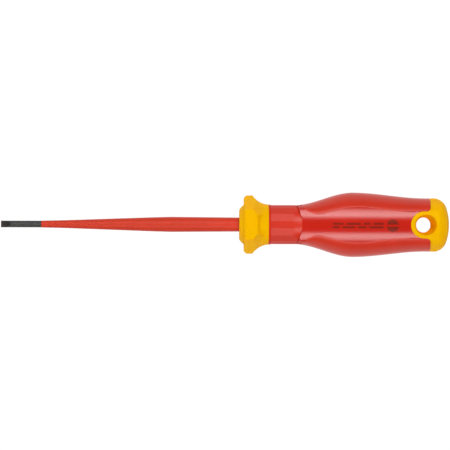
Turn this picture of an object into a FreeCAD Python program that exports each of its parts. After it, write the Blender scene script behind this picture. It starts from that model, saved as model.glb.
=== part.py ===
import FreeCAD, Part
import math
import os
import re
import Sketcher
from FreeCAD import Placement, Rotation, Vector

# A slim insulated screwdriver with a slotted blade, drawn in millimetres.
# The origin is the centre of the blade tip's end face. +X runs along the tool towards
# the hang hole, +Y is the wide direction of the handle and +Z its thin direction.

os.makedirs("parts", exist_ok=True)
doc = FreeCAD.newDocument("insulated_screwdriver")
sheet = doc.addObject("Spreadsheet::Sheet", "Dimensions")

# alias, size in mm (or a formula of the sizes above it), what it is
SIZES = [
    ("overall_length", "188", "blade tip to the end of the handle"),
    ("collar_start", "100", "tip to the front of the guard collar: the blade length"),
    ("sleeve_start", "17", "bare steel in front of the insulating sleeve"),
    ("blade_radius", "1.4", "bare round blade"),
    ("tip_thickness", "0.5", "slotted tip"),
    ("tip_parallel", "0.6", "length of the tip that keeps its thickness"),
    ("grind_end", "4.1", "tip to the run-out of the hollow grind"),
    ("grind_rise", "=blade_radius - tip_thickness / 2", "depth of the grind"),
    ("grind_run", "=grind_end - tip_parallel", "length of the hollow grind"),
    ("grind_radius", "=(grind_run * grind_run + grind_rise * grind_rise) / (2 * grind_rise)",
     "grinding wheel arc, level with the tip where it starts"),
    ("turned_radius", "1.0", "blade turned down under the thin sleeve"),
    ("cone_start", "40", "start of the blade's cone"),
    ("cone_end", "66", "end of the blade's cone"),
    ("shank_radius", "1.85", "blade in the handle"),
    ("shank_end", "132", "end of the blade inside the core"),
    ("wing_start", "114", "flattened wings that stop the blade turning"),
    ("wing_length", "8", "length of the wings"),
    ("wing_half_span", "3.4", "axis to the edge of a wing"),
    ("wing_thickness", "1.3", "thickness of the wings"),
    ("sleeve_tip_radius", "1.44", "sleeve at its front edge"),
    ("sleeve_taper_start", "27.5", "end of the nearly straight front of the sleeve"),
    ("sleeve_taper_radius", "1.65", "sleeve where its taper starts"),
    ("sleeve_taper_end", "64.5", "end of the sleeve's taper"),
    ("sleeve_shoulder_radius", "2.98", "sleeve at the end of its taper"),
    ("sleeve_peak", "71.5", "thickest point of the sleeve"),
    ("sleeve_peak_radius", "3.15", "sleeve at its thickest"),
    ("sleeve_end", "107", "end of the sleeve inside the core"),
    ("sleeve_end_radius", "2.88", "sleeve at its inner end"),
    ("nose_radius", "6.2", "front face of the collar's nose"),
    ("nose_shoulder", "0.7", "length of the nose's rounded shoulder"),
    ("nose_shoulder_radius", "7.1", "nose behind its shoulder"),
    ("flange_start", "102.2", "front plane of the collar's flange"),
    ("nose_root_radius", "7.9", "nose where it meets the flange"),
    ("flange_chamfer", "1.05", "length of the chamfer along the guard's front edges"),
    ("flange_chamfer_angle", "-40", "lean of that chamfer, in degrees"),
    ("hexagon_radius", "12.33", "corner radius of the hexagonal guard"),
    ("hexagon_apothem", "=hexagon_radius * 0.8660254", "axis to a flat of the guard"),
    ("guard_back", "105.85", "where the guard starts to sweep down to the neck"),
    ("sweep_arc", "8.75", "hollow arc of that sweep"),
    ("collar_end", "112.45", "back of the guard collar"),
    ("neck_radius", "8.15", "neck of the handle"),
    ("neck_ring_radius", "8.38", "ring in front of the neck grip"),
    ("neck_ring_length", "0.9", "length of that ring"),
    ("neck_start", "=collar_end + neck_ring_length", "front of the neck grip"),
    ("neck_spigot_radius", "6.6", "hard shell under the neck grip"),
    ("facet_end", "124.7", "end of the sixteen flats of the neck grip"),
    ("seam_point", "126.5", "tip of the V where neck grip and shell meet"),
    ("seam_flank", "124.2", "the same seam at the sides of the neck"),
    ("seam_point_half", "2.0", "half width of the V's blunt tip"),
    ("swell_start", "123.5", "neck radius ends and the belly starts to swell"),
    ("belly", "147.5", "widest point of the handle"),
    ("waist", "178", "narrowest point behind the belly"),
    ("tail_start", "181.5", "slight flare in front of the rounded end"),
    ("belly_half_width", "13.4", "belly along Y"),
    ("belly_half_height", "=hexagon_apothem", "belly along Z, level with the guard's flats"),
    ("waist_half_width", "11.05", "waist along Y"),
    ("waist_half_height", "9.2", "waist along Z"),
    ("tail_half_width", "11.15", "tail along Y"),
    ("tail_half_height", "9.25", "tail along Z"),
    ("end_dome_radius", "24", "dome of the handle's end"),
    ("end_round", "5.2", "rounding around the dome"),
    ("grip_thickness", "2.0", "thickness of the soft grips"),
    ("grip_front", "126.0", "front end of the soft grips at the handle's side"),
    ("grip_waist", "133", "where the hard panel is narrowest"),
    ("grip_waist_half", "4.2", "half width of the hard panel there"),
    ("grip_belly", "149.5", "where the hard panel is widest"),
    ("grip_belly_half", "7.3", "half width of the hard panel there"),
    ("grip_tail", "169", "where the panel gets straight again"),
    ("grip_tail_half", "5.45", "half width of the panel there"),
    ("grip_end", "179.4", "rear end of the soft grips"),
    ("cap_corner", "1.8", "round inner corner between the cap's lobe and its front edge"),
    ("cap_lean", "0.4", "how far the cap's front edge leans back at the sides"),
    ("grip_key_start", "140", "key on the inside of each soft grip"),
    ("grip_key_length", "26", "length of the key"),
    ("grip_key_inner", "8.6", "axis to the key's inner face"),
    ("grip_key_half", "2.0", "half height of the key"),
    ("lobe_centre", "176.6", "centre of the round lobe in front of the hang hole"),
    ("lobe_radius", "5.65", "radius of the lobe"),
    ("hole_centre", "177.35", "hang hole"),
    ("hole_radius", "3.2", "straight wall of the hang hole"),
    ("hole_half_wall", "1.4", "half length of the straight wall"),
    ("hole_mouth_radius", "4.05", "hole below its rounded rim"),
    ("hole_mouth_depth", "7.2", "middle plane to the rounded rim"),
    ("hole_rim_radius", "5.3", "hole at the top of its rim"),
    ("hole_rim_height", "9.6", "middle plane to the top of the rim"),
    ("tenon_start", "160", "T-shaped tenon of the end cap"),
    ("tenon_head", "2.5", "length of the tenon's head"),
    ("tenon_head_half", "4.4", "half width of the head"),
    ("tenon_half", "2.8", "half width and half height of the tenon"),
    ("core_start", "103.4", "front of the core, inside the collar"),
    ("core_front_radius", "5.6", "core inside the collar and neck"),
    ("core_swell_start", "128", "core starts to swell"),
    ("core_swell_end", "137", "core at full size"),
    ("core_radius", "7.0", "core inside the belly"),
    ("core_taper_start", "160", "core starts to taper"),
    ("core_end_radius", "5.6", "core at its rear end"),
    ("core_end", "167", "rear end of the core"),
    ("key_start", "104.5", "key that stops the collar turning on the core"),
    ("key_length", "7", "length of the key"),
    ("key_half_width", "1.2", "half width of the key"),
    ("key_radius", "6.9", "axis to the top of the key"),
    ("overcut", "6", "how far a cutting tool reaches past what it cuts"),
]


def fill_sheet():
    """Write every size into the sheet, one row each, under its alias."""
    for row, (alias, size, meaning) in enumerate(SIZES, start=1):
        sheet.set(f"A{row}", meaning)
        sheet.set(f"B{row}", size)
        sheet.setAlias(f"B{row}", alias)
    doc.recompute()


fill_sheet()
ALIASES = re.compile(r"\b(" + "|".join(alias for alias, size, meaning in SIZES) + r")\b")


def bound(formula):
    """The formula as an expression that other objects can use."""
    return ALIASES.sub(r"Dimensions.\1", formula)


def value(formula):
    """The formula's present value in millimetres."""
    return float(sheet.evalExpression(formula))


def bind(thing, prop, formula):
    """Tie a property to the sheet."""
    thing.setExpression(prop, bound(formula))


def new_body(name):
    return doc.addObject("PartDesign::Body", name)


def new_sketch(body, name, plane, lift=None):
    """Empty sketch on one of the body's own planes, lifted along its normal."""
    sketch = body.newObject("Sketcher::SketchObject", name)
    support = [f for f in body.Origin.OriginFeatures if f.Role == plane][0]
    sketch.AttachmentSupport = [(support, "")]
    sketch.MapMode = "FlatFace"
    if lift:
        bind(sketch, "AttachmentOffset.Base.z", lift)
    return sketch


def pin_point(sketch, item, end, across, up):
    """Hold one point of a sketch item at a distance from the origin."""
    for kind, axis, formula in (("DistanceX", -2, across), ("DistanceY", -1, up)):
        if formula == "0":
            sketch.addConstraint(Sketcher.Constraint("PointOnObject", item, end, axis))
            continue
        rule = Sketcher.Constraint(kind, -1, 1, item, end, value(formula))
        index = sketch.addConstraint(rule)
        sketch.setExpression(f"Constraints[{index}]", bound(formula))


def add_arc(sketch, start, finish, formula):
    """Arc between two points; a negative radius bends it the other way."""
    radius = value(formula)
    middle = (start + finish) * 0.5
    along = finish - start
    side = Vector(-along.y, along.x, 0).normalize()
    reach = math.sqrt(radius ** 2 - (along.Length / 2) ** 2)
    centre = middle + side * math.copysign(reach, radius)
    first, last = (start, finish) if radius > 0 else (finish, start)
    from_angle = math.atan2(first.y - centre.y, first.x - centre.x)
    to_angle = math.atan2(last.y - centre.y, last.x - centre.x)
    circle = Part.Circle(centre, Vector(0, 0, 1), abs(radius))
    item = sketch.addGeometry(Part.ArcOfCircle(circle, from_angle, to_angle))
    index = sketch.addConstraint(Sketcher.Constraint("Radius", item, abs(radius)))
    sketch.setExpression(f"Constraints[{index}]", bound(formula.lstrip("-")))
    return (item, 1, 2) if radius > 0 else (item, 2, 1)


def add_curve(sketch, start, finish, handles):
    """Cubic curve between two points, shaped by two handles given as formulas."""
    inner = [Vector(value(across), value(up), 0) for across, up in handles]
    poles = [start, *inner, finish]
    spline = Part.BSplineCurve()
    spline.buildFromPolesMultsKnots(poles, [4, 4], [0, 1], False, 3)
    item = sketch.addGeometry(spline, False)
    weights = []
    for index, pole in enumerate(poles):
        weight = sketch.addGeometry(Part.Circle(pole, Vector(0, 0, 1), 0.5), True)
        if weights:
            sketch.addConstraint(Sketcher.Constraint("Equal", weights[0], weight))
        else:
            sketch.addConstraint(Sketcher.Constraint("Weight", weight, 1.0))
        weights.append(weight)
        kind = "InternalAlignment:Sketcher::BSplineControlPoint"
        sketch.addConstraint(Sketcher.Constraint(kind, weight, 3, item, index))
    for weight, (across, up) in zip(weights[1:3], handles):
        pin_point(sketch, weight, 3, across, up)
    return item, 1, 2


def outline(body, name, plane, corners, arcs=None, curves=None, lift=None):
    """Closed sketch through corners given as pairs of formulas.

    arcs gives the radius, and curves the two handles, of the side that leaves a corner.
    """
    arcs = arcs or {}
    curves = curves or {}
    sketch = new_sketch(body, name, plane, lift)
    points = [Vector(value(across), value(up), 0) for across, up in corners]
    sides = []
    for index, start in enumerate(points):
        finish = points[(index + 1) % len(points)]
        if index in arcs:
            sides.append(add_arc(sketch, start, finish, arcs[index]))
        elif index in curves:
            sides.append(add_curve(sketch, start, finish, curves[index]))
        else:
            sides.append((sketch.addGeometry(Part.LineSegment(start, finish)), 1, 2))
    for index, (item, start_end, finish_end) in enumerate(sides):
        following = sides[(index + 1) % len(sides)]
        join = Sketcher.Constraint("Coincident", item, finish_end, following[0], following[1])
        sketch.addConstraint(join)
    for (item, start_end, finish_end), (across, up) in zip(sides, corners):
        pin_point(sketch, item, start_end, across, up)
    return sketch


def polygon(body, name, sides, radius, flat_up, lift):
    """Regular polygon across the tool's axis, with a flat or a corner along Y."""
    sketch = new_sketch(body, name, "YZ_Plane", lift)
    size = value(radius)
    ring = sketch.addGeometry(Part.Circle(Vector(0, 0, 0), Vector(0, 0, 1), size), True)
    sketch.addConstraint(Sketcher.Constraint("Coincident", ring, 3, -1, 1))
    index = sketch.addConstraint(Sketcher.Constraint("Radius", ring, size))
    sketch.setExpression(f"Constraints[{index}]", bound(radius))
    turn = math.pi / sides if flat_up else 0
    angles = [turn + 2 * math.pi * step / sides for step in range(sides)]
    points = [Vector(size * math.cos(a), size * math.sin(a), 0) for a in angles]
    edges = []
    for step, point in enumerate(points):
        following = points[(step + 1) % sides]
        edges.append(sketch.addGeometry(Part.LineSegment(point, following)))
    for step, edge in enumerate(edges):
        following = edges[(step + 1) % sides]
        sketch.addConstraint(Sketcher.Constraint("Coincident", edge, 2, following, 1))
        sketch.addConstraint(Sketcher.Constraint("PointOnObject", edge, 1, ring))
        if step:
            sketch.addConstraint(Sketcher.Constraint("Equal", edges[0], edge))
    if flat_up:
        sketch.addConstraint(Sketcher.Constraint("Vertical", edges[-1]))
    else:
        sketch.addConstraint(Sketcher.Constraint("PointOnObject", edges[0], 1, -1))
    return sketch


def revolve(body, sketch, name):
    """Turn a sketch about the tool's axis."""
    feature = body.newObject("PartDesign::Revolution", name)
    feature.Profile = sketch
    feature.ReferenceAxis = (sketch, ["H_Axis"])
    feature.Angle = 360
    doc.recompute()
    return feature


def pad(body, sketch, name, length, both_ways=False):
    """Extrude a sketch along its normal."""
    feature = body.newObject("PartDesign::Pad", name)
    feature.Profile = sketch
    feature.SideType = "Symmetric" if both_ways else "One side"
    bind(feature, "Length", length)
    doc.recompute()
    return feature


def carve(body, sketch, name, length):
    """Cut a sketch out of the body, half the length to each side, and prove it cut."""
    before = body.Shape.Volume
    feature = body.newObject("PartDesign::Pocket", name)
    feature.Profile = sketch
    feature.SideType = "Symmetric"
    bind(feature, "Length", length)
    doc.recompute()
    if body.Shape.Volume > before - 1e-6:
        raise RuntimeError(f"{name} removed nothing")
    return feature


def box(name, low, high):
    """Block between two corners given as formulas."""
    block = doc.addObject("Part::Box", name)
    for prop, first, last in zip(("Length", "Width", "Height"), low, high):
        bind(block, prop, f"({last}) - ({first})")
    for axis, first in zip("xyz", low):
        bind(block, f"Placement.Base.{axis}", first)
    return block


def fuse(name, *things):
    joined = doc.addObject("Part::MultiFuse", name)
    joined.Shapes = list(things)
    return joined


def common(name, first, second):
    shared = doc.addObject("Part::Common", name)
    shared.Base = first
    shared.Tool = second
    return shared


def cut(name, base, tool):
    """Base without tool."""
    rest = doc.addObject("Part::Cut", name)
    rest.Base = base
    rest.Tool = tool
    return rest


# ---- blade and sleeve ----

def make_blade():
    """Round blade: hollow-ground slotted tip, waist, cone, and winged shank."""
    body = new_body("blade")
    profile = outline(body, "blade_profile", "XY_Plane", [
        ("0", "0"),
        ("0", "blade_radius"),
        ("sleeve_start", "blade_radius"),
        ("sleeve_start", "turned_radius"),
        ("cone_start", "turned_radius"),
        ("cone_end", "shank_radius"),
        ("shank_end", "shank_radius"),
        ("shank_end", "0"),
    ])
    revolve(body, profile, "blade_round")
    for face, sign in (("front", ""), ("back", "-")):
        grind = outline(body, f"{face}_grind_sketch", "XZ_Plane", [
            ("-overcut", f"{sign}(tip_thickness / 2)"),
            ("tip_parallel", f"{sign}(tip_thickness / 2)"),
            ("grind_end", f"{sign}blade_radius"),
            ("grind_end", f"{sign}(blade_radius + overcut)"),
            ("-overcut", f"{sign}(blade_radius + overcut)"),
        ], arcs={1: "grind_radius" if sign == "" else "-grind_radius"})
        carve(body, grind, f"{face}_grind", "4 * blade_radius")
    wings = outline(body, "wings_sketch", "XY_Plane", [
        ("wing_start", "-wing_half_span"),
        ("wing_start + wing_length", "-wing_half_span"),
        ("wing_start + wing_length", "wing_half_span"),
        ("wing_start", "wing_half_span"),
    ])
    pad(body, wings, "wings", "wing_thickness", both_ways=True)
    return body


def make_sleeve():
    """Insulating sleeve, moulded flush against the bare blade and thicker to the rear."""
    body = new_body("sleeve_blank")
    profile = outline(body, "sleeve_profile", "XY_Plane", [
        ("sleeve_start", "0"),
        ("sleeve_start", "sleeve_tip_radius"),
        ("sleeve_taper_start", "sleeve_taper_radius"),
        ("sleeve_taper_end", "sleeve_shoulder_radius"),
        ("sleeve_peak", "sleeve_peak_radius"),
        ("sleeve_end", "sleeve_end_radius"),
        ("sleeve_end", "0"),
    ])
    revolve(body, profile, "sleeve_round")
    return body


# ---- guard collar and core ----

def make_collar_blank():
    """Hexagonal anti-roll guard with a nose in front and a sweep down to the neck."""
    nose = new_body("collar_nose")
    nose_profile = outline(nose, "nose_profile", "XY_Plane", [
        ("collar_start", "0"),
        ("collar_start", "nose_radius"),
        ("collar_start + nose_shoulder", "nose_shoulder_radius"),
        ("flange_start", "nose_root_radius"),
        ("guard_back", "nose_root_radius"),
        ("guard_back", "0"),
    ], arcs={1: "-1.2 * nose_shoulder"})
    revolve(nose, nose_profile, "nose_round")

    sweep = new_body("collar_sweep")
    sweep_profile = outline(sweep, "sweep_profile", "XY_Plane", [
        ("flange_start", "0"),
        ("flange_start", "hexagon_radius + 1"),
        ("guard_back", "hexagon_radius + 1"),
        ("guard_back", "hexagon_radius"),
        ("collar_end", "neck_ring_radius"),
        ("collar_end", "0"),
    ], arcs={3: "sweep_arc"})
    revolve(sweep, sweep_profile, "sweep_round")

    hexagon = new_body("collar_hexagon")
    flats = polygon(hexagon, "hexagon_sketch", 6, "hexagon_radius", False,
                    "flange_start + flange_chamfer")
    pad(hexagon, flats, "hexagon", "collar_end - flange_start - flange_chamfer + 1")
    front = polygon(hexagon, "chamfer_sketch", 6, "hexagon_radius", False,
                    "flange_start + flange_chamfer")
    chamfer = pad(hexagon, front, "hexagon_chamfer", "flange_chamfer")
    chamfer.Reversed = True
    bind(chamfer, "TaperAngle", "flange_chamfer_angle")
    doc.recompute()
    return fuse("collar_blank", nose, common("collar_guard", sweep, hexagon))


def make_core_blank():
    """Rigid core that grips the blade: a keyed spigot in front and a fuller body behind."""
    body = new_body("core_blank")
    profile = outline(body, "core_profile", "XY_Plane", [
        ("core_start", "0"),
        ("core_start", "core_front_radius"),
        ("core_swell_start", "core_front_radius"),
        ("core_swell_end", "core_radius"),
        ("core_taper_start", "core_radius"),
        ("core_end", "core_end_radius"),
        ("core_end", "0"),
    ])
    revolve(body, profile, "core_round")
    key = outline(body, "key_sketch", "XY_Plane", [
        ("key_start", "-key_radius"),
        ("key_start + key_length", "-key_radius"),
        ("key_start + key_length", "key_radius"),
        ("key_start", "key_radius"),
    ])
    pad(body, key, "key", "2 * key_half_width", both_ways=True)
    return body


# ---- outer form of the handle ----

def swell(portion, first, last):
    """Size part of the way along an S-curve that starts and ends level."""
    return f"{first} + ({last} - {first}) * {3 * portion ** 2 - 2 * portion ** 3}"


def oval(name, station, half_width, half_height, inset):
    """Oval section across the tool's axis, in two halves that meet at top and bottom."""
    wide = value(f"{half_width} - {inset}")
    high = value(f"{half_height} - {inset}")
    whole = Part.Ellipse(Vector(0, 0, 0), wide, high)
    halves = [whole.toShape(first, first + math.pi) for first in (-math.pi / 2, math.pi / 2)]
    section = doc.addObject("Part::Feature", name)
    section.Shape = Part.Wire(halves)
    upright = Rotation(Vector(0, 1, 0), Vector(0, 0, 1), Vector(1, 0, 0), "ZXY")
    section.Placement = Placement(Vector(value(station), 0, 0), upright)
    return section


def make_form(name, inset):
    """Solid through oval sections: neck, belly, waist and tail, drawn in by inset."""
    sections = []

    def add(station, half_width, half_height):
        label = f"{name}_section_{len(sections)}"
        sections.append(oval(label, station, half_width, half_height, inset))

    for step in range(4):
        station = f"neck_start + {step} * (swell_start - neck_start) / 4"
        add(station, "neck_radius", "neck_radius")
    spans = [
        ("swell_start", "belly", "neck_radius", "belly_half_width", "neck_radius",
         "belly_half_height"),
        ("belly", "waist", "belly_half_width", "waist_half_width", "belly_half_height",
         "waist_half_height"),
    ]
    steps = 6
    for start, end, wide_a, wide_b, high_a, high_b in spans:
        for step in range(steps):
            portion = step / steps
            station = f"{start} + ({end} - {start}) * {portion}"
            add(station, swell(portion, wide_a, wide_b), swell(portion, high_a, high_b))
    add("waist", "waist_half_width", "waist_half_height")
    for step in range(4):
        station = f"tail_start + {step} * (overall_length + 2 - tail_start) / 3"
        add(station, "tail_half_width", "tail_half_height")
    form = doc.addObject("Part::Loft", name)
    form.Sections = sections
    form.Solid = True
    form.Ruled = False
    return form


# ---- regions that divide the form, seen along Z and cut right through ----

def make_neck_region():
    """Plan of everything in front of the V-shaped seam."""
    body = new_body("neck_region")
    plan = outline(body, "neck_region_sketch", "XY_Plane", [
        ("neck_start", "-(neck_radius + overcut)"),
        ("seam_flank", "-(neck_radius + overcut)"),
        ("seam_flank", "-neck_radius"),
        ("seam_point", "-seam_point_half"),
        ("seam_point", "seam_point_half"),
        ("seam_flank", "neck_radius"),
        ("seam_flank", "neck_radius + overcut"),
        ("neck_start", "neck_radius + overcut"),
    ])
    pad(body, plan, "neck_region_pad", "4 * neck_radius", both_ways=True)
    return body


def make_grip_region(name, sign):
    """Plan of one soft grip: a curved inner border beside the hard panel."""
    def at(along, away):
        return along, f"{sign}({away})"

    body = new_body(name)
    plan = outline(body, f"{name}_sketch", "XY_Plane", [
        at("grip_front", "neck_radius + 0.15"),
        at("grip_waist", "grip_waist_half"),
        at("grip_belly", "grip_belly_half"),
        at("grip_tail", "grip_tail_half"),
        at("tail_start", "grip_tail_half"),
        at("tail_start", "belly_half_width + overcut"),
        at("grip_front", "belly_half_width + overcut"),
    ], curves={
        0: [at("grip_front + 0.6", "neck_radius - 2.55"),
            at("grip_waist - 3.4", "grip_waist_half")],
        1: [at("grip_waist + 3.2", "grip_waist_half"),
            at("grip_belly - 8.8", "grip_belly_half")],
        2: [at("grip_belly + 6.5", "grip_belly_half"),
            at("grip_tail - 7.5", "grip_tail_half")],
    })
    pad(body, plan, f"{name}_pad", "4 * belly_half_height", both_ways=True)
    return body


def make_cap_region():
    """Plan of the end cap: the tail behind the grips and a round lobe in front of it."""
    body = new_body("cap_region")
    plan = outline(body, "cap_region_sketch", "XY_Plane", [
        ("lobe_centre", "-lobe_radius"),
        ("grip_end - cap_corner", "-lobe_radius"),
        ("grip_end", "-(lobe_radius + cap_corner)"),
        ("grip_end + cap_lean", "-tail_half_width"),
        ("grip_end + cap_lean", "-(belly_half_width + overcut)"),
        ("overall_length + overcut", "-(belly_half_width + overcut)"),
        ("overall_length + overcut", "belly_half_width + overcut"),
        ("grip_end + cap_lean", "belly_half_width + overcut"),
        ("grip_end + cap_lean", "tail_half_width"),
        ("grip_end", "lobe_radius + cap_corner"),
        ("grip_end - cap_corner", "lobe_radius"),
        ("lobe_centre", "lobe_radius"),
        ("lobe_centre - lobe_radius", "0"),
    ], arcs={1: "-cap_corner", 9: "-cap_corner", 11: "lobe_radius", 12: "lobe_radius"})
    pad(body, plan, "cap_region_pad", "4 * belly_half_height", both_ways=True)
    return body


# ---- end cap ----

def make_hole():
    """Hang hole: straight in the middle, opening gently to a rounded rim on both sides."""
    body = new_body("hang_hole")
    sketch = outline(body, "hang_hole_sketch", "XZ_Plane", [
        ("hole_centre", "-hole_rim_height"),
        ("hole_centre + hole_rim_radius", "-hole_rim_height"),
        ("hole_centre + hole_mouth_radius", "-hole_mouth_depth"),
        ("hole_centre + hole_radius", "-hole_half_wall"),
        ("hole_centre + hole_radius", "hole_half_wall"),
        ("hole_centre + hole_mouth_radius", "hole_mouth_depth"),
        ("hole_centre + hole_rim_radius", "hole_rim_height"),
        ("hole_centre", "hole_rim_height"),
    ], arcs={1: "-2 * (hole_rim_height - hole_mouth_depth)",
             5: "-2 * (hole_rim_height - hole_mouth_depth)"})
    feature = body.newObject("PartDesign::Revolution", "hang_hole_round")
    axis = len(sketch.Geometry)
    bottom = Vector(value("hole_centre"), -1, 0)
    sketch.addGeometry(Part.LineSegment(bottom, bottom + Vector(0, 2, 0)), True)
    sketch.addConstraint(Sketcher.Constraint("Vertical", axis))
    sketch.addConstraint(Sketcher.Constraint("PointOnObject", axis, 1, axis - 1))
    feature.Profile = sketch
    feature.ReferenceAxis = (sketch, ["Axis0"])
    feature.Angle = 360
    doc.recompute()
    return body


def rim_edges(shape, start, end):
    """Numbers of the edges that lie between two stations along the tool."""
    found = []
    for number, edge in enumerate(shape.Edges, start=1):
        if start < edge.BoundBox.XMin and edge.BoundBox.XMax < end:
            found.append(number)
    return found


def make_tenon():
    """T-shaped tenon that locks the end cap into the core."""
    stem = box("tenon_stem", ("tenon_start", "-tenon_half", "-tenon_half"),
               ("lobe_centre", "tenon_half", "tenon_half"))
    head = box("tenon_head_block", ("tenon_start", "-tenon_head_half", "-tenon_half"),
               ("tenon_start + tenon_head", "tenon_head_half", "tenon_half"))
    return fuse("tenon", stem, head)


def make_cap(form, cap_region, tenon):
    """Tail of the handle with its domed and rounded end, round lobe and tenon."""
    dome = doc.addObject("Part::Sphere", "end_dome")
    bind(dome, "Radius", "end_dome_radius")
    dome.Placement = Placement(Vector(0, 0, 0), Rotation(Vector(0, 1, 0), 90))
    bind(dome, "Placement.Base.x", "overall_length - end_dome_radius")
    domed = common("domed_form", form, dome)
    doc.recompute()
    rounded = doc.addObject("Part::Fillet", "rounded_form")
    rounded.Base = domed
    size = value("end_round")
    rim = rim_edges(domed.Shape, value("tail_start"), value("overall_length - 0.1"))
    rounded.Edges = [(number, size, size) for number in rim]
    tail = common("cap_tail", rounded, cap_region)
    return cut("end_cap", fuse("cap_solid", tail, tenon), make_hole())


# ---- handle pieces ----

def make_neck_grip(neck_region):
    """Soft ring with sixteen flats between the front ring and the V-shaped seam."""
    flats_body = new_body("neck_flats")
    flats = polygon(flats_body, "neck_flats_sketch", 16, "neck_radius / 0.9807853", True,
                    "neck_start")
    pad(flats_body, flats, "neck_flats_pad", "facet_end - neck_start")
    plain = doc.addObject("Part::Cylinder", "neck_plain")
    bind(plain, "Radius", "neck_radius")
    bind(plain, "Height", "seam_point - neck_start + 1")
    plain.Placement = Placement(Vector(0, 0, 0), Rotation(Vector(0, 1, 0), 90))
    bind(plain, "Placement.Base.x", "neck_start")
    outside = fuse("neck_outside", flats_body, plain)
    return common("neck_grip_blank", outside, neck_region)


def make_spigot():
    """Part of the hard shell that the neck grip is moulded over, with its front ring."""
    spigot = new_body("neck_spigot")
    profile = outline(spigot, "neck_spigot_profile", "XY_Plane", [
        ("collar_end", "0"),
        ("collar_end", "neck_ring_radius"),
        ("neck_start", "neck_ring_radius"),
        ("neck_start", "neck_spigot_radius"),
        ("swell_start + overcut", "neck_spigot_radius"),
        ("swell_start + overcut", "0"),
    ])
    revolve(spigot, profile, "neck_spigot_round")
    return spigot


def make_keyed_bed(inner_form):
    """What lies under both soft grips, with a slot for the long key inside each."""
    slots = []
    for side, low, high in (("left", "grip_key_inner", "belly_half_width"),
                            ("right", "-belly_half_width", "-grip_key_inner")):
        slots.append(box(f"{side}_grip_key", ("grip_key_start", low, "-grip_key_half"),
                         ("grip_key_start + grip_key_length", high, "grip_key_half")))
    return cut("keyed_bed", inner_form, fuse("grip_keys", *slots))


def export(pieces):
    """Check every object and write each piece's STEP file."""
    doc.recompute()
    for thing in doc.Objects:
        if "Invalid" in thing.State or "Error" in thing.State:
            raise RuntimeError(f"{thing.Name} is {thing.State}")
    for node, thing in pieces.items():
        shape = thing.Shape
        if shape.isNull() or not shape.isValid() or len(shape.Solids) != 1:
            raise RuntimeError(f"{node}: {len(shape.Solids)} solids, valid {shape.isValid()}")
        thing.Label = node
        shape.exportStep(f"parts/{node}.step")
        print(f"{node:16s} {shape.Volume:9.1f} mm3")


def build():
    blade = make_blade()
    sleeve_blank = make_sleeve()
    sleeve = cut("blade_sleeve", sleeve_blank, blade)
    blade_and_sleeve = fuse("blade_and_sleeve", blade, sleeve_blank)

    form = make_form("handle_form", "0")
    inner_form = make_form("inner_form", "grip_thickness")
    cap_region = make_cap_region()
    tenon = make_tenon()
    end_cap = make_cap(form, cap_region, tenon)

    core_blank = make_core_blank()
    core = cut("handle_core", core_blank, fuse("inside_core", blade_and_sleeve, tenon))

    inside_collar = fuse("inside_collar", core_blank, blade_and_sleeve)
    collar = cut("guard_collar", make_collar_blank(), inside_collar)

    neck_region = make_neck_region()
    spigot = make_spigot()
    neck_grip = cut("neck_grip", make_neck_grip(neck_region), spigot)

    bed = make_keyed_bed(inner_form)
    left_recess = cut("left_recess", make_grip_region("left_grip_region", ""), bed)
    right_recess = cut("right_recess", make_grip_region("right_grip_region", "-"), bed)
    left = cut("soft_grip_left", common("left_skin", form, left_recess), cap_region)
    right = cut("soft_grip_right", common("right_skin", form, right_recess), cap_region)

    behind_seam = cut("form_behind_seam", form, neck_region)
    without_left = cut("shell_without_left", behind_seam, left_recess)
    without_right = cut("shell_without_right", without_left, right_recess)
    without_cap = cut("shell_without_cap", without_right, cap_region)
    shell_solid = fuse("shell_solid", without_cap, spigot)
    shell = cut("hard_shell", shell_solid, fuse("inside_shell", core_blank, tenon))

    export({
        "blade": blade,
        "blade_sleeve": sleeve,
        "guard_collar": collar,
        "handle_core": core,
        "hard_shell": shell,
        "neck_grip": neck_grip,
        "soft_grip_left": left,
        "soft_grip_right": right,
        "end_cap": end_cap,
    })


build()
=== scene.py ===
"""The looks of an insulated slotted screwdriver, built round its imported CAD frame.

Lengths are in millimetres until a mesh is made: X runs from the blade's tip to the handle's end, and Z is up.
"""

import math

import bmesh
import bpy
import numpy as np
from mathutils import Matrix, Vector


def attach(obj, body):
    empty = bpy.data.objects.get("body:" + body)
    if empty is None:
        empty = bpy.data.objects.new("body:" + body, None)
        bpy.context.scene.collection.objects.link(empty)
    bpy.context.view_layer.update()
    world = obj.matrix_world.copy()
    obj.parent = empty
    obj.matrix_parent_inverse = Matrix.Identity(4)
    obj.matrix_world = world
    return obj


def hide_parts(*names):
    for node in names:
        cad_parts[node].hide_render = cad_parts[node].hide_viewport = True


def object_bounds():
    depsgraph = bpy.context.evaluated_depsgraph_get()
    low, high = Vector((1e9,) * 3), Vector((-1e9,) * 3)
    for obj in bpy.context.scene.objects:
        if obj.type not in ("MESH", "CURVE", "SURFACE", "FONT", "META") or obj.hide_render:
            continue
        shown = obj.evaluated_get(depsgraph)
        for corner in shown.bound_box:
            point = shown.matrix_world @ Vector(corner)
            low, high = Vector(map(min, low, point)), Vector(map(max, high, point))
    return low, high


MM = 0.001
BODY = "root"
MERGE_DISTANCE = 1e-7
SHARP_ANGLE = math.radians(38)
CAMERA_ROLL = 0.0025

# handle form
STATIONS = np.array([123.5, 147.5, 178.0, 181.5])
HALF_WIDTHS = np.array([8.15, 13.4, 11.05, 11.15])
HALF_HEIGHTS = np.array([8.15, 10.678, 9.2, 9.25])
PANEL_RADIUS = 18.0
PANEL_START = 133.0
FRONT_PANEL = 6.3
PANEL_BLEND = (121.5, 125.5)
NECK_RADIUS = 8.15

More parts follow.
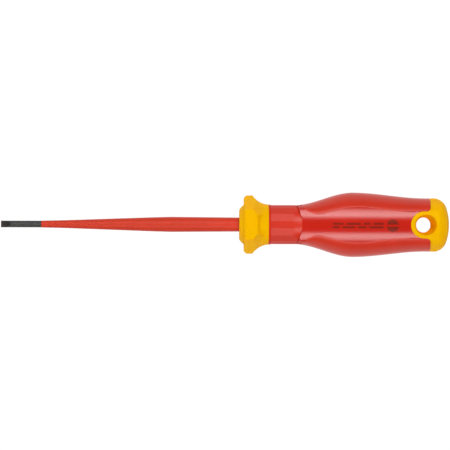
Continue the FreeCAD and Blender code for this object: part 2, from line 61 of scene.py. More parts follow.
# soft grip border, seen from above
GRIP_CURVES = (
    ((125.6, 8.3), (127.5, 6.4), (129.8, 4.2), (133.0, 4.2)),
    ((133.0, 4.2), (136.2, 4.2), (140.7, 7.3), (149.5, 7.3)),
    ((149.5, 7.3), (156.0, 7.3), (161.5, 5.45), (169.0, 5.45)),
)
GRIP_BACK_X, GRIP_BACK_Y = 169.0, 5.45
GRIP_PROUD = 0.12
GRIP_ROUND = 0.35
EDGE_SINK = 0.1
GRIP_DEPTH, BED_DEPTH = 1.0, 1.1
RIB_START, RIB_LENGTH = 131.0, 43.0

# end cap
LOBE_X, LOBE_RADIUS = 176.6, 5.65
LOBE_END = 177.6
CORNER_RADIUS = 1.8
CAP_EDGE = (179.8, 11.15)
HOLE_X = 177.35
HOLE_PROFILE = ((3.2, 0.0), (3.2, 1.4), (4.05, 7.2))
FLARE_RADIUS, FLARE_RISE, FLARE_BLEND = 5.3, 2.4, 0.12
STRAIGHT_BELOW = 5.0
LOBE_ANGLE, CORNER_ANGLE, SIDE_ANGLE, POLE_ANGLE = 86.0, 64.0, 48.0, 18.0
CAP_ROUND, CAP_PROUD, CAP_SINK = 0.25, 0.04, 0.05
LIFT_END = 183.0
CREASE_Y, CREASE_SLOPE = 5.95, 0.028
# Reach of the hole's wall that is painted in the rim-light colour and has no shine.
MATTE_LIT_WALL_RADIUS, MATTE_LIT_WALL_Z = 4.3, 8.4
DOME_X, DOME_RADIUS, DOME_ROUND = 163.8, 24.0, 5.2
TURN_LENGTH, DOME_LENGTH, TAIL_TIP = 5.0, 8.0, 195.6

# neck
RING_START, RING_END, RING_RADIUS = 112.25, 113.15, 8.38
SEAM_MIDDLE, SEAM_SIDE, SEAM_FLAT = 126.1, 124.1, 2.0
NECK_FACETS = 16
NECK_BORE, NECK_BED = 7.25, 7.22
CORE_RADIUS = 6.65
WIDE_BORE, WIDE_BORE_START, WIDE_BORE_FULL = 7.03, 132.0, 134.0
SHELL_UNDER_CAP = 0.7
SHELL_BORE_END = 171.5

# collar
HEX_APOTHEM = 10.678
FACE_APOTHEM, CHAMFER_LENGTH = 9.78, 1.05
NOSE_FRONT, NOSE_SHOULDER, FLANGE_FRONT, GUARD_BACK = 100.0, 100.7, 101.9, 105.55
NOSE_RADII = (6.2, 7.2, 8.3)
FACE_EDGE_RADIUS, NOSE_ROOT = 6.1, 8.35
GUARD_RADIUS, SWEEP_END_RADIUS, SWEEP_ARC = 12.33, 8.4, 8.75
COLLAR_BORE, SLEEVE_BORE, BORE_STEP = 6.9, 3.12, 103.4
BOSS_END, BOSS_HALF, BOSS_FALL = 107.45, 3.6, 1.2
BOSS_LEAN = (0.7914, 0.6114)
BOSS_BLEND, SWEEP_BLEND = 0.16, 0.14

# printed marks
MARK_Y = -0.3
BAR_NEAR, BAR_FAR, BAR_CORNER = 0.3, 1.15, 0.38
UPPER_BARS = ((138.5, 143.0), (144.1, 150.1), (151.2, 154.1), (155.2, 159.7))
LOWER_BARS = ((138.5, 141.4), (142.5, 147.7), (148.8, 152.4), (153.5, 159.7))
DISC_X, DISC_RADIUS, DISC_GAP = 163.4, 2.6, 0.42
SLEEVE_DASHES = ((62.5, 66.0), (67.2, 69.4), (70.6, 76.4), (78.0, 80.2), (81.4, 88.6))
DASH_HALF, DASH_CORNER = 0.42, 0.3


def smoothstep(low, high, x):
    t = np.clip((np.asarray(x, float) - low) / (high - low), 0.0, 1.0)
    return t * t * (3.0 - 2.0 * t)


def eased(x, stations, values):
    """A curve through the values at the stations, with a smooth step between neighbours."""
    x = np.asarray(x, float)
    i = np.clip(np.searchsorted(stations, x) - 1, 0, len(stations) - 2)
    return values[i] + (values[i + 1] - values[i]) * smoothstep(stations[i], stations[i + 1], x)


def bezier(points, count):
    p = np.array(points, float)
    t = np.linspace(0.0, 1.0, count)[:, None]
    u = 1.0 - t
    return u**3 * p[0] + 3 * u * u * t * p[1] + 3 * u * t * t * p[2] + t**3 * p[3]


def arc(centre, radius, start, stop, count):
    """Points of a circle's arc between two angles in degrees."""
    angle = np.radians(np.linspace(start, stop, count))
    return np.stack([centre[0] + radius * np.cos(angle), centre[1] + radius * np.sin(angle)], 1)


def chain(*parts):
    """Joins runs of points, leaving out each repeated joint point."""
    return np.concatenate([parts[0]] + [p[1:] for p in parts[1:]])


def resample(path, spacing):
    """The path's points set at an even spacing."""
    steps = np.linalg.norm(np.diff(path, axis=0), axis=1)
    length = np.concatenate([[0.0], np.cumsum(steps)])
    wanted = np.linspace(0.0, length[-1], max(2, int(round(length[-1] / spacing)) + 1))
    return np.stack([np.interp(wanted, length, path[:, k]) for k in range(path.shape[1])], 1)


def distance_to(path, x, y):
    """Each point's distance from a path, in the plane seen from above."""
    a, b = path[:-1], path[1:]
    step = b - a
    size = (step**2).sum(1)
    best = np.full(x.size, 1e9)
    px, py = x.ravel(), y.ravel()
    for k in range(len(a)):
        t = ((px - a[k, 0]) * step[k, 0] + (py - a[k, 1]) * step[k, 1]) / max(size[k], 1e-12)
        t = np.clip(t, 0.0, 1.0)
        d = np.hypot(px - a[k, 0] - t * step[k, 0], py - a[k, 1] - t * step[k, 1])
        best = np.minimum(best, d)
    return best.reshape(x.shape)


GRIP_FRONT = chain(*[bezier(c, 40) for c in GRIP_CURVES])


def border(x):
    """The panel's half width at x: as far as the soft grips, and a little less in front of them."""
    edge = np.interp(x, GRIP_FRONT[:, 0], GRIP_FRONT[:, 1])
    return np.where(x < PANEL_START, np.minimum(edge, FRONT_PANEL), edge)


def cap_outline():
    """Half the end cap's edge seen from above, from the lobe's front to the handle's side."""
    lobe = arc((LOBE_X, 0.0), LOBE_RADIUS, 180.0, 90.0, 60)
    corner_y = LOBE_RADIUS + CORNER_RADIUS
    side = np.array([[LOBE_X, LOBE_RADIUS], [LOBE_END, LOBE_RADIUS]])
    corner = arc((LOBE_END, corner_y), CORNER_RADIUS, -90.0, 0.0, 16)
    rim = np.array([corner[-1], CAP_EDGE])
    return chain(lobe, side, corner, rim)


def half_width(x):
    return eased(x, STATIONS, HALF_WIDTHS)


def half_height(x):
    return eased(x, STATIONS, HALF_HEIGHTS)


def height(x, y):
    """Half the handle's height over the point (x, y): a gently crowned panel, then elliptic sides."""
    a, b = half_width(x), half_height(x)
    y = np.minimum(np.abs(y), a)
    plain = b * np.sqrt(np.maximum(0.0, 1.0 - (y / a) ** 2))
    edge = border(x)
    drop = np.sqrt(PANEL_RADIUS**2 - edge**2)
    panel = b - PANEL_RADIUS + np.sqrt(PANEL_RADIUS**2 - np.minimum(y, edge) ** 2)
    edge_z = b - PANEL_RADIUS + drop
    slope = edge / drop / edge_z
    room = a - edge
    centre = (edge - slope * room * (a + edge)) / (1.0 - 2.0 * slope * room)
    top = edge_z / np.sqrt(1.0 - ((edge - centre) / (a - centre)) ** 2)
    side = top * np.sqrt(np.maximum(0.0, 1.0 - ((y - centre) / (a - centre)) ** 2))
    share = smoothstep(*PANEL_BLEND, x)
    return plain * (1.0 - share) + np.where(y <= edge, panel, side) * share


def form(v, psi):
    """The handle's outer surface. v is X as far as the tail's rounding, then runs round to its middle."""
    x = np.minimum(v, STATIONS[-1])
    y = half_width(x) * np.cos(psi)
    z = np.sign(np.sin(psi)) * height(x, y)
    crease = smoothstep(179.3, 180.3, v) * (1.0 - smoothstep(182.6, 184.5, v))
    z = z * (1.0 - CREASE_SLOPE * crease * np.maximum(0.0, np.abs(y) - CREASE_Y))
    reach = np.maximum(np.hypot(y, z), 1e-6)
    inner = reach - DOME_ROUND
    middle = DOME_X + np.sqrt((DOME_RADIUS - DOME_ROUND) ** 2 - inner**2)
    polar = np.arcsin(inner / (DOME_RADIUS - DOME_ROUND))
    turn = np.clip((v - middle) / TURN_LENGTH, 0.0, 1.0) * (math.pi / 2 - polar)
    rest = np.clip((v - middle - TURN_LENGTH) / DOME_LENGTH, 0.0, 1.0)
    on_dome = v > middle + TURN_LENGTH
    out_x = np.where(
        on_dome,
        DOME_X + DOME_RADIUS * np.cos(polar * (1.0 - rest)),
        np.minimum(v, middle) + DOME_ROUND * np.sin(turn),
    )
    out_r = np.where(
        on_dome,
        DOME_RADIUS * np.sin(polar * (1.0 - rest)),
        inner + DOME_ROUND * np.cos(turn),
    )
    share = out_r / reach
    return np.stack([out_x, y * share, z * share], -1)


def raised(v, psi, lift):
    """Points of the outer surface, moved out along its normal by lift."""
    v, psi, lift = np.broadcast_arrays(
        np.asarray(v, float), np.asarray(psi, float), np.asarray(lift, float)
    )
    step = 1e-3
    along = form(v + step, psi) - form(v - step, psi)
    around = form(v, psi + step) - form(v, psi - step)
    normal = np.cross(around, along)
    size = np.linalg.norm(normal, axis=-1, keepdims=True)
    normal = normal / np.maximum(size, 1e-12)
    return form(v, psi) + normal * lift[..., None]


def angle_of(x, y):
    """The angle psi of the upper surface's point over (x, y)."""
    return np.arccos(np.clip(y / half_width(x), -1.0, 1.0))


def seam(psi):
    """X of the V shaped seam between the neck and the shell."""
    y = NECK_RADIUS * np.abs(np.cos(psi))
    share = np.clip((y - SEAM_FLAT) / (NECK_RADIUS - SEAM_FLAT), 0.0, 1.0)
    return SEAM_MIDDLE + (SEAM_SIDE - SEAM_MIDDLE) * share


def seam_round(psi):
    """How much the edges beside the seam are rounded: less at its flat middle than at its sides."""
    return 0.03 + 0.05 * smoothstep(1.6, 3.2, np.abs(NECK_RADIUS * np.cos(psi)))


# meshes


def make_piece(name, points, faces, material, slot, node=None):
    """A closed smooth-shaded mesh that rides on the body, and stands for a CAD node if one is named."""
    mesh = bpy.data.meshes.new(name)
    mesh.from_pydata((np.asarray(points, float) * MM).tolist(), [], faces)
    bm = bmesh.new()
    bm.from_mesh(mesh)
    bmesh.ops.remove_doubles(bm, verts=bm.verts, dist=MERGE_DISTANCE)
    bmesh.ops.dissolve_degenerate(bm, edges=bm.edges, dist=MERGE_DISTANCE)
    bmesh.ops.recalc_face_normals(bm, faces=bm.faces)
    bm.to_mesh(mesh)
    bm.free()
    mesh.shade_smooth()
    mesh.set_sharp_from_angle(angle=SHARP_ANGLE)
    mesh.materials.append(material)
    piece = bpy.data.objects.new(name, mesh)
    bpy.context.scene.collection.objects.link(piece)
    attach(piece, BODY)
    if node:
        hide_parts(node)
    return piece


def grid_faces(rows, columns, around=False, closed=False, start=0):
    """Quads of a grid of points, which may close round its columns and from its last row to its first."""
    faces = []
    for i in range(rows if closed else rows - 1):
        j = (i + 1) % rows
        for k in range(columns if around else columns - 1):
            m = (k + 1) % columns
            faces.append(
                (
                    start + i * columns + k,
                    start + i * columns + m,
                    start + j * columns + m,
                    start + j * columns + k,
                )
            )
    return faces


def loop_piece(name, rings, *finish):
    """A piece made of rings of points, the last joined to the first, so that it is a closed tube."""
    rings = np.asarray(rings, float)
    rows, columns = rings.shape[:2]
    faces = grid_faces(rows, columns, around=True, closed=True)
    return make_piece(name, rings.reshape(-1, 3), faces, *finish)


def solid_piece(name, rings, *finish):
    """A piece made of rings of points, closed by a fan at each end."""
    rings = np.asarray(rings, float)
    rows, columns = rings.shape[:2]
    points = np.concatenate([rings.reshape(-1, 3), rings[[0, -1]].mean(1)])
    faces = grid_faces(rows, columns, around=True)
    first, last = rows * columns, rows * columns + 1
    for k in range(columns):
        m = (k + 1) % columns
        faces.append((m, k, first))
        faces.append(((rows - 1) * columns + k, (rows - 1) * columns + m, last))
    return make_piece(name, points, faces, *finish)


def ring(x, r, angle):
    """Points round the X axis at x and radius r, both of which may vary with the angle."""
    x = np.broadcast_to(np.asarray(x, float), angle.shape)
    return np.stack([x, r * np.cos(angle), r * np.sin(angle)], -1)


def circle_rings(profile, columns):
    """Rings of a turned shape, from its (x, radius) points."""
    phi = np.linspace(0.0, 2 * math.pi, columns, endpoint=False)
    return np.array([ring(x, r, phi) for x, r in profile])


def soften(rings, passes, keep):
    """Rounds the edges between rings a little by averaging each with its neighbours."""
    rings = np.array(rings)
    held = rings[list(keep)].copy()
    for _ in range(passes):
        rings[1:-1] += 0.25 * (rings[:-2] + rings[2:] - 2 * rings[1:-1])
        rings[list(keep)] = held
    return rings


# materials


def node(tree, kind, inputs=None, **settings):
    """A shader node with its settings, its input values, and links from the sockets given as inputs."""
    made = tree.nodes.new(kind)
    for key, value in settings.items():
        setattr(made, key, value)
    for key, value in (inputs or {}).items():
        if isinstance(value, bpy.types.NodeSocket):
            tree.links.new(value, made.inputs[key])
        else:
            made.inputs[key].default_value = value
    return made


def ramp(tree, factor, low, high, start=0.35, stop=0.65):
    """A two colour ramp between two positions."""
    made = node(tree, "ShaderNodeValToRGB", {"Fac": factor})
    made.color_ramp.elements[0].position = start
    made.color_ramp.elements[0].color = (*low, 1.0)
    made.color_ramp.elements[1].position = stop
    made.color_ramp.elements[1].color = (*high, 1.0)
    return made.outputs["Color"]


def spread(tree, value, low, high):
    """Maps a 0 to 1 value onto a range."""
    made = node(tree, "ShaderNodeMapRange", {"Value": value, "To Min": low, "To Max": high})
    return made.outputs["Result"]


def noise(tree, coordinates, scale, detail=3.0, roughness=0.55):
    made = node(
        tree,
        "ShaderNodeTexNoise",
        {"Vector": coordinates, "Scale": scale, "Detail": detail, "Roughness": roughness},
    )
    return made.outputs["Fac"]


def start_material(name):
    material = bpy.data.materials.new(name)
    material.use_nodes = True
    tree = material.node_tree
    shader = tree.nodes["Principled BSDF"]
    place = node(tree, "ShaderNodeTexCoord").outputs["Object"]
    return material, tree, shader, place


def plastic(
    name, low, high, rough, grain, depth,
    flow=0.0, specular=0.5, tint=None, glow=0.0, rim=None, matte_rim=False,
):
    """Moulded plastic: faint flow clouds in the colour, a fine grain, and a roughness that varies.

    rim is a painted rim light: a lighter colour mixed in where the surface turns away from the camera, and
    matte_rim takes its shine away there.
    """
    material, tree, shader, place = start_material(name)
    clouds = noise(tree, place, 95.0, 4.0)
    fine = noise(tree, place, grain, 2.0, 0.6)
    dust = noise(tree, place, 900.0, 5.0, 0.7)
    colour = ramp(tree, clouds, low, high)
    slant = node(tree, "ShaderNodeLayerWeight", {"Blend": 0.5}).outputs["Facing"]
    # Painted rim light: the rim colour takes over where the surface turns away from the camera.
    if rim:
        share = node(
            tree, "ShaderNodeMapRange", {"Value": slant, "From Min": 0.12, "From Max": 0.5}
        ).outputs["Result"]
        colour = node(
            tree, "ShaderNodeMix", {0: share, 6: colour, 7: (*rim, 1.0)}, data_type="RGBA"
        ).outputs[2]
    tree.links.new(colour, shader.inputs["Base Color"])
    mixed = node(
        tree, "ShaderNodeMix", {"Factor": 0.5, "A": dust, "B": fine}, data_type="FLOAT"
    ).outputs[0]
    tree.links.new(spread(tree, mixed, *rough), shader.inputs["Roughness"])
    shader.inputs["Specular IOR Level"].default_value = specular
    if matte_rim:
        level = node(
            tree,
            "ShaderNodeMapRange",
            {"Value": slant, "From Min": 0.35, "From Max": 0.8, "To Min": specular, "To Max": 0.0},
        ).outputs["Result"]
        tree.links.new(level, shader.inputs["Specular IOR Level"])
    if glow:
        shader.inputs["Subsurface Weight"].default_value = glow
        shader.inputs["Subsurface Radius"].default_value = (1.0, 0.55, 0.08)
        shader.inputs["Subsurface Scale"].default_value = 0.0018
    if tint:
        shader.inputs["Specular Tint"].default_value = (*tint, 1.0)
    bump = node(
        tree, "ShaderNodeBump", {"Height": fine, "Strength": depth, "Distance": 0.0001}
    )
    if flow:
        wave = noise(tree, place, 160.0, 1.0)
        under = node(
            tree, "ShaderNodeBump", {"Height": wave, "Strength": flow, "Distance": 0.0005}
        )
        tree.links.new(under.outputs["Normal"], bump.inputs["Normal"])
    tree.links.new(bump.outputs["Normal"], shader.inputs["Normal"])
    return material


def steel(name):
    """Blackened steel: grey streaks along the blade and fine mottling."""
    material, tree, shader, place = start_material(name)
    stretched = node(
        tree, "ShaderNodeMapping", {"Vector": place, "Scale": (0.18, 1.0, 1.0)}
    ).outputs["Vector"]
    streaks = noise(tree, stretched, 2600.0, 4.0, 0.6)
    mottle = noise(tree, place, 1500.0, 4.0, 0.65)
    mixed = node(
        tree, "ShaderNodeMix", {"Factor": 0.45, "A": streaks, "B": mottle}, data_type="FLOAT"
    ).outputs[0]
    colour = ramp(tree, mixed, (0.021, 0.0205, 0.0195), (0.03, 0.029, 0.0275), 0.36, 0.66)
    tree.links.new(colour, shader.inputs["Base Color"])
    tree.links.new(spread(tree, mixed, 0.4, 0.3), shader.inputs["Roughness"])
    shader.inputs["Specular IOR Level"].default_value = 0.34
    bump = node(
        tree, "ShaderNodeBump", {"Height": mixed, "Strength": 0.07, "Distance": 0.00003}
    )
    tree.links.new(bump.outputs["Normal"], shader.inputs["Normal"])
    return material


# pieces


def make_blade(material):
    radius, thin, parallel, grind_end = 1.4, 0.25, 0.6, 4.1
    sag = radius - thin
    grind = ((grind_end - parallel) ** 2 + sag**2) / (2 * sag)
    x = np.concatenate(
        [
            [0.0, 0.03, 0.08],
            np.linspace(0.15, parallel, 6),
            np.linspace(parallel, grind_end, 56)[1:],
            np.linspace(grind_end, 17.0, 40)[1:],
        ]
    )
    half = thin + grind - np.sqrt(grind**2 - np.clip(x - parallel, 0.0, grind_end - parallel) ** 2)
    half[0] -= 0.04
    columns = 96
    phi = np.linspace(0.0, 2 * math.pi, columns, endpoint=False)
    r = np.full(x.size, radius)
    r[0] -= 0.05
    y = r[:, None] * np.cos(phi)
    z = np.clip(r[:, None] * np.sin(phi), -half[:, None], half[:, None])
    visible = np.stack([np.repeat(x[:, None], columns, 1), y, z], -1)
    hidden = circle_rings(
        [(17.0, 1.0), (40.0, 1.0), (66.0, 1.85), (114.0, 1.85), (132.0, 1.85)], columns
    )
    rings = np.concatenate([visible, hidden])
    solid_piece("visual_blade", rings, material, "blackened_steel", "blade")


SLEEVE_PROFILE = np.array(
    [(17.0, 1.44), (27.5, 1.67), (64.5, 2.98), (71.5, 3.15), (107.0, 2.88)]
)


def sleeve_radius(x):
    return np.interp(x, SLEEVE_PROFILE[:, 0], SLEEVE_PROFILE[:, 1])


def make_sleeve(material):
    x = np.concatenate([[17.03, 17.08, 17.2], np.linspace(17.6, 107.0, 280)])
    r = sleeve_radius(x)
    r[0] -= 0.06
    r[1] -= 0.02
    kernel = np.exp(-(np.linspace(-2, 2, 9) ** 2))
    kernel /= kernel.sum()
    smooth = np.convolve(np.pad(r, 4, mode="edge"), kernel, mode="valid")
    r[6:] = smooth[6:]
    bore_x = np.array([107.0, 66.0, 40.0, 17.03])
    bore_r = np.array([1.87, 1.87, 1.02, 1.02])
    profile = np.concatenate([np.stack([x, r], 1), np.stack([bore_x, bore_r], 1)])
    loop_piece(
        "visual_sleeve", circle_rings(profile, 96), material, "red_sleeve_plastic", "blade_sleeve"
    )


def hexagon(phi, apothem):
    """Radius of a hexagon with corners at +Y and -Y, its corners very slightly rounded."""
    power = 90.0
    normals = np.radians(np.arange(6) * 60.0 + 30.0)
    facing = np.maximum(0.0, np.cos(phi[..., None] - normals))
    return apothem / (facing**power).sum(-1) ** (1.0 / power)


def sweep_radius(x):
    """The collar's concave sweep down to the neck."""
    start, end, radius = (GUARD_BACK, GUARD_RADIUS), (RING_START, SWEEP_END_RADIUS), SWEEP_ARC
    mid = ((start[0] + end[0]) / 2, (start[1] + end[1]) / 2)
    dx, dy = end[0] - start[0], end[1] - start[1]
    half = math.hypot(dx, dy) / 2
    rise = math.sqrt(radius**2 - half**2)
    centre = (mid[0] - dy / (2 * half) * rise, mid[1] + dx / (2 * half) * rise)
    x = np.clip(x, start[0], end[0])
    return centre[1] - np.sqrt(np.maximum(0.0, radius**2 - (x - centre[0]) ** 2))


def front_rows(unit):
    """X and radii of the guard's rings from the nose's face to the end of its flats."""
    even = np.ones(unit.size)
    rows = [(NOSE_FRONT, even * r) for r in np.linspace(SLEEVE_BORE, FACE_EDGE_RADIUS, 8)]
    shoulder = np.linspace(NOSE_FRONT, NOSE_SHOULDER, 8)
    nose_x = np.concatenate([shoulder, np.linspace(NOSE_SHOULDER, FLANGE_FRONT, 14)[1:]])
    nose_r = np.interp(nose_x, [NOSE_FRONT, NOSE_SHOULDER, FLANGE_FRONT], NOSE_RADII)
    rows += [(x, even * r) for x, r in zip(nose_x, nose_r)]
    for t in np.linspace(0.0, 1.0, 16)[1:]:
        rows.append((FLANGE_FRONT, NOSE_ROOT * (1 - t) + unit * FACE_APOTHEM * t))
    for t in np.linspace(0.0, 1.0, 12)[1:]:
        apothem = FACE_APOTHEM + (HEX_APOTHEM - FACE_APOTHEM) * t
        rows.append((FLANGE_FRONT + CHAMFER_LENGTH * t, unit * apothem))
    for x in np.linspace(FLANGE_FRONT + CHAMFER_LENGTH, GUARD_BACK, 28)[1:]:
        rows.append((x, unit * HEX_APOTHEM))
    return rows


def blended(first, second, blend, sign):
    """The greater of two radii with sign 1, or the smaller with sign -1, rounded where they meet."""
    first, second = sign * first, sign * second
    top = np.maximum(first, second)
    joined = top + blend * np.log(np.exp((first - top) / blend) + np.exp((second - top) / blend))
    return sign * joined


def with_boss(x, r, phi, flat):
    """Radii with the boss that carries the top and bottom flats on past the guard's back."""
    sine = np.maximum(np.abs(np.sin(phi)), 0.2)
    z = np.full(phi.size, HEX_APOTHEM)
    for _ in range(6):
        y = np.abs(z * np.cos(phi) / sine)
        slanted = (x - BOSS_END) * BOSS_LEAN[0] + (y - BOSS_HALF) * BOSS_LEAN[1]
        z = HEX_APOTHEM - BOSS_FALL * np.maximum(0.0, np.maximum(x - BOSS_END, slanted))
    joined = blended(r, np.minimum(z / sine, flat), BOSS_BLEND, 1)
    facing = smoothstep(0.78, 0.88, np.abs(np.sin(phi)))
    return r + (np.minimum(joined, flat) - r) * facing


def make_collar(material):
    columns = 480
    phi = np.linspace(0.0, 2 * math.pi, columns, endpoint=False)
    unit = hexagon(phi, 1.0)
    flat = unit * HEX_APOTHEM
    rows = front_rows(unit)
    for x in np.linspace(GUARD_BACK, RING_START, 90)[1:]:
        blend = SWEEP_BLEND * smoothstep(GUARD_BACK, GUARD_BACK + 0.6, x) + 0.01
        swept = blended(flat, sweep_radius(x), blend, -1)
        rows.append((x, with_boss(x, swept, phi, flat)))
    rings = soften([ring(x, r, phi) for x, r in rows], 3, keep=(0, -1))
    bore = circle_rings(
        [(RING_START, COLLAR_BORE), (BORE_STEP, COLLAR_BORE), (BORE_STEP, SLEEVE_BORE)], columns
    )
    rings = np.concatenate([rings, bore])
    loop_piece("visual_guard_collar", rings, material, "yellow_plastic", "guard_collar")


def make_neck(material):
    columns = 480
    psi = np.linspace(0.0, 2 * math.pi, columns, endpoint=False)
    facet = 2 * math.pi / NECK_FACETS
    local = np.mod(psi - math.pi / 2 + facet / 2, facet) - facet / 2
    flat = NECK_RADIUS / np.cos(local)
    flat = np.minimum(flat, NECK_RADIUS / math.cos(facet / 2) - 0.005)
    last = seam(psi) - 0.02 - 0.06 * smoothstep(1.8, 2.6, np.abs(NECK_RADIUS * np.cos(psi)))
    edge_round = seam_round(psi)
    rings = []
    first = RING_END + 0.01
    for t in np.concatenate([[0.0, 0.004, 0.01, 0.02], np.linspace(0.04, 0.96, 70)]):
        x = first + (last - first) * t
        fade = smoothstep(122.0, 124.2, x)
        r = flat * (1 - fade) + NECK_RADIUS * fade
        r = r + half_width(x) - NECK_RADIUS
        if t == 0.0:
            r = r - 0.02
        rings.append(ring(x, r, psi))
    for back, down in ((0.25, 0.0), (0.14, 0.02), (0.07, 0.12), (0.02, 0.45), (0.0, 1.0)):
        x = last - back
        r = half_width(x) - edge_round * down
        rings.append(ring(x, r, psi))
    rings += [ring(last, NECK_BORE, psi), ring(first, NECK_BORE, psi)]
    loop_piece("visual_neck_grip", rings, material, "red_soft_plastic", "neck_grip")


def covered_depth(x, y):
    """How far inside the soft grips or the cap's lobe a point of the shell lies, seen from above."""
    y = np.abs(y)
    path = chain(GRIP_FRONT, np.array([(GRIP_BACK_X, GRIP_BACK_Y), (182.0, GRIP_BACK_Y)]))
    edge_y = np.interp(x, path[:, 0], path[:, 1])
    in_grip = (y > edge_y) & (x > path[0, 0])
    depth = np.where(in_grip, distance_to(path[::4], x, y), -1.0)
    lobe = LOBE_RADIUS - np.hypot(np.minimum(x - LOBE_X, 0.0), y)
    lobe = np.where(x > LOBE_X, LOBE_RADIUS - y, lobe)
    return np.maximum(depth, lobe)


def make_shell(material, ring_highlight_material):
    columns = 384
    psi = np.linspace(0.0, 2 * math.pi, columns, endpoint=False) + 1e-6
    start = seam(psi) + 0.02
    front = (
        (RING_START + 0.01, CORE_RADIUS),
        (RING_START + 0.01, RING_RADIUS - 0.15),
        (RING_START + 0.04, RING_RADIUS - 0.05),
        (RING_START + 0.12, RING_RADIUS),
        (RING_END - 0.12, RING_RADIUS),
        (RING_END - 0.04, RING_RADIUS - 0.05),
        (RING_END, RING_RADIUS - 0.15),
        (RING_END, NECK_BED),
        (start, NECK_BED),
    )
    rings = [ring(x, r, psi) for x, r in front]
    edge_round = seam_round(psi)
    for ahead, down in ((0.0, 1.0), (0.02, 0.45), (0.07, 0.12), (0.14, 0.02)):
        rings.append(raised(start + ahead, psi, -edge_round * down))
    across = np.minimum(np.abs(half_width(174.0) * np.cos(psi)), LOBE_RADIUS - 0.2)
    last = LOBE_X - np.sqrt(LOBE_RADIUS**2 - across**2) + SHELL_UNDER_CAP
    first = start + 0.25
    for t in np.linspace(0.0, 1.0, 170):
        x = first + (last - first) * t
        y = half_width(x) * np.cos(psi)
        sunk = smoothstep(0.25, 0.6, covered_depth(x, y))
        rings.append(raised(x, psi, -BED_DEPTH * sunk))
    bore = ((SHELL_BORE_END, WIDE_BORE), (WIDE_BORE_FULL, WIDE_BORE), (WIDE_BORE_START, CORE_RADIUS))
    rings += [ring(x, r, psi) for x, r in bore]
    shell = loop_piece("visual_hard_shell", rings, material, "red_gloss_plastic", "hard_shell")
    # The ring's faces take the brighter ring material, a painted highlight.
    shell.data.materials.append(ring_highlight_material)
    for face in shell.data.polygons:
        if face.center.x < (RING_END + 0.005) * MM:
            face.material_index = 1


def rounded_edge(distance, width, proud, sink):
    """The lift of a rounded edge: sunk at the edge, and up to its full height a width away."""
    t = np.clip(distance / width, 0.0, 1.0)
    return -sink + (proud + sink) * np.sqrt(1.0 - (1.0 - t) ** 2)


def make_grip(name, side, material, cad_node):
    """One soft grip: a patch from its border over the handle's side to the same border below."""
    cap = cap_outline()
    meet = LOBE_X - math.sqrt(LOBE_RADIUS**2 - GRIP_BACK_Y**2)
    cap = cap[(cap[:, 0] > meet) & (cap[:, 1] > GRIP_BACK_Y)]
    path = chain(GRIP_FRONT, np.array([(GRIP_BACK_X, GRIP_BACK_Y), (meet, GRIP_BACK_Y)]))
    path = resample(np.concatenate([path, cap]), 0.25)
    path[:, 1] = np.minimum(path[:, 1], half_width(path[:, 0]))
    path[0, 1] = half_width(path[0, 0])
    path[-1, 1] = half_width(path[-1, 0])
    psi_edge = angle_of(path[:, 0], path[:, 1])
    rib = RIB_START + RIB_LENGTH * (path[:, 0] - path[0, 0]) / (path[-1, 0] - path[0, 0])
    near = np.array([0.0, 0.02, 0.05, 0.09, 0.14, 0.2, 0.27, 0.36, 0.5, 0.8, 1.2])
    far = np.linspace(0.0, 1.0, 34)[1:]
    dense = np.linspace(0.0, 1.0, 400)
    outer = []
    lifts = []
    for k in range(len(path)):
        v = path[k, 0] + (rib[k] - path[k, 0]) * dense
        psi = psi_edge[k] * (1.0 - dense)
        line = form(v, psi)
        steps = np.linalg.norm(np.diff(line, axis=0), axis=1)
        length = np.concatenate([[0.0], np.cumsum(steps)])
        reach = min(near[-1], 0.3 * length[-1]) / near[-1]
        joint = near[-1] * reach
        wanted = np.concatenate([near * reach, joint + (length[-1] - joint) * far])
        t = np.interp(wanted, length, dense)
        outer.append(np.stack([np.interp(t, dense, v), np.interp(t, dense, psi)], -1))
        lifts.append(rounded_edge(wanted, GRIP_ROUND, GRIP_PROUD, EDGE_SINK))
    outer, lifts = np.array(outer), np.array(lifts)
    top = raised(outer[..., 0], outer[..., 1], lifts)
    bottom = raised(outer[..., 0], outer[..., 1], np.full(lifts.shape, -GRIP_DEPTH))
    on_rib = outer[..., 1] < 1e-9
    top[..., 2][on_rib] = 0.0
    bottom[..., 2][on_rib] = 0.0
    rows, columns = top.shape[:2]
    flip = np.array([1.0, 1.0, -1.0])
    turn = np.array([1.0, side, 1.0])
    sheets = [top, bottom, top * flip, bottom * flip]
    size = rows * columns
    faces = []
    for i in range(4):
        faces += grid_faces(rows, columns, start=i * size)
    for upper, lower in ((0, 1), (2, 3)):
        for r in range(rows - 1):
            a, b = upper * size + r * columns, upper * size + (r + 1) * columns
            c, d = lower * size + (r + 1) * columns, lower * size + r * columns
            faces.append((a, b, c, d))
    points = np.concatenate([s.reshape(-1, 3) for s in sheets]) * turn
    make_piece(name, points, faces, material, "red_soft_plastic", cad_node)


